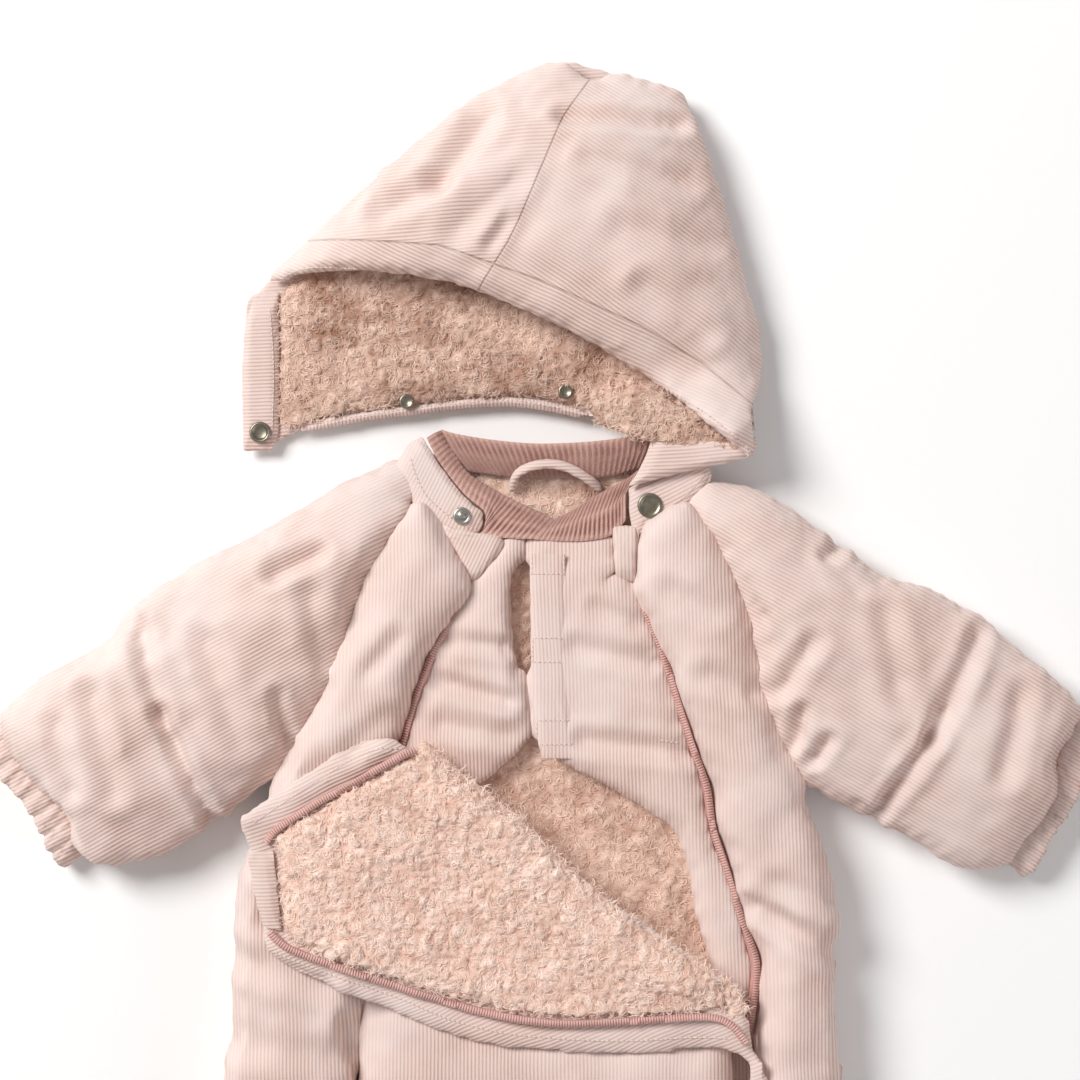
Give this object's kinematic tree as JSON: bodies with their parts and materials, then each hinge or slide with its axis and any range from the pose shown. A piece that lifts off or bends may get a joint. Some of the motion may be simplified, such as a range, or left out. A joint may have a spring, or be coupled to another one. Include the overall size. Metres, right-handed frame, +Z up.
{
  "type": "baby snowsuit",
  "caption": "Padded corduroy baby snowsuit laid flat on its back, hood unsnapped, front panel turned down to show its curly pile lining.",
  "frame": {"origin": "centre of the suit's outline on the surface it lies on", "axes": "+X towards the wearer's left, +Y towards the hood, +Z up from the surface"},
  "size_m": [0.689, 0.9147, 0.0651],
  "materials": {
    "cord": "fine-wale cotton corduroy, pale dusty pink, soft nap",
    "pile": "curly sherpa pile, cream peach",
    "rib": "rib knit, dusty terracotta rose",
    "zip": "coil zip and its tape, dusty rose, slight sheen",
    "snap_silver": "satin silver",
    "snap_brass": "dull greenish brass, bare"
  },
  "bodies": {
    "root": {"back_panel": "cord", "front_side_right": "cord", "front_side_left": "cord", "centre_panel": "cord", "storm_flap_right": "cord", "storm_flap_left": "cord", "placket": "cord", "zip_guard_right": "cord", "zip_guard_left": "cord", "panel_turned": "cord", "panel_facing": "cord", "sleeve_right": "cord", "cuff_right": "cord", "sleeve_left": "cord", "cuff_left": "cord", "ankle_cuff_right": "cord", "ankle_cuff_left": "cord", "collar_stand_right": "cord", "collar_stand_left": "cord", "hanger_loop": "cord", "hood_under": "cord", "hood_neck_facing": "cord", "hood_end_right": "cord", "hood_end_left": "cord", "hood_band": "cord", "hood_panel_right": "cord", "hood_panel_left": "cord", "back_lining": "pile", "panel_lining": "pile", "hood_lining": "pile", "rib_back": "rib", "rib_front_right": "rib", "rib_front_left": "rib", "zip_body_right": "zip", "zip_body_left": "zip", "zip_panel_right": "zip", "zip_panel_left": "zip", "snap_stud": "snap_silver", "snap_hood_1": "snap_silver", "snap_hood_2": "snap_silver", "snap_cap": "snap_brass", "snap_socket": "snap_brass"}
  },
  "joints": []
}
